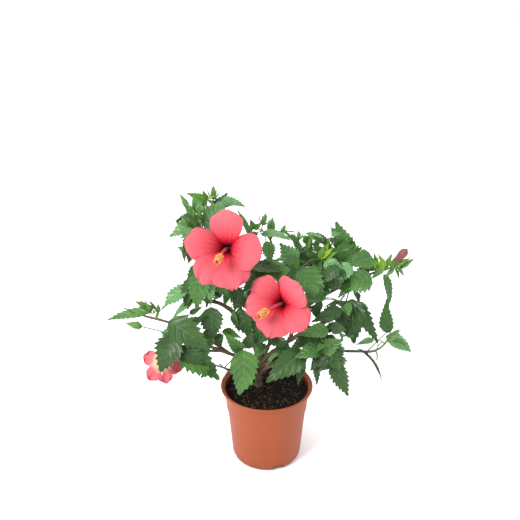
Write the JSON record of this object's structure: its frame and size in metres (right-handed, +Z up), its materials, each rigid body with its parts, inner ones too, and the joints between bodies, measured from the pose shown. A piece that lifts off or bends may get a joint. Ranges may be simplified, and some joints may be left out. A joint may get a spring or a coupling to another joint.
{
  "type": "potted hibiscus shrub",
  "caption": "Flowering shrub in a tapered nursery pot: short trunk, forking boughs, masses of foliage and open trumpet blooms.",
  "frame": {"origin": "centre of the pot's flat underside, at the level of the surface it stands on", "axes": "+Z up, front of the plant towards -Y, the plant's right as seen from the front towards +X"},
  "size_m": [0.4082, 0.2275, 0.3992],
  "materials": {
    "pot_plastic": "satin moulded",
    "potting_soil": "damp, crumbly",
    "bark": "thin ribbed bark",
    "foliage": "glossy leaves",
    "petals": "soft matt petals"
  },
  "bodies": {
    "root": {"bloom_low_left": "petals", "bloom_middle": "petals", "bloom_upper": "petals", "bough_back_left": "bark", "bough_back_low": "bark", "bough_back_right": "bark", "bough_front_left": "bark", "bough_front_right": "bark", "bough_left": "bark", "bough_left_tip": "bark", "bough_low_right": "bark", "bough_lower_left": "bark", "bough_lower_right": "bark", "bough_middle": "bark", "bough_right": "bark", "bough_right_tip": "bark", "bough_top_left": "bark", "bough_top_middle": "bark", "bough_top_right": "bark", "mass_back_left": "foliage", "mass_back_low": "foliage", "mass_back_right": "foliage", "mass_centre": "foliage", "mass_front_left": "foliage", "mass_front_right": "foliage", "mass_left_tip": "foliage", "mass_low_right_tip": "foliage", "mass_lower_left": "foliage", "mass_lower_right": "foliage", "mass_right_hanging": "foliage", "mass_right_middle": "foliage", "mass_right_tip": "foliage", "mass_top_left": "foliage", "mass_top_middle": "foliage", "mass_top_right": "foliage", "mass_upper_left": "foliage", "pot": "pot_plastic", "soil": "potting_soil", "stalk_low_left": "bark", "stalk_middle": "bark", "stalk_upper": "bark", "trunk": "bark"}
  },
  "joints": []
}
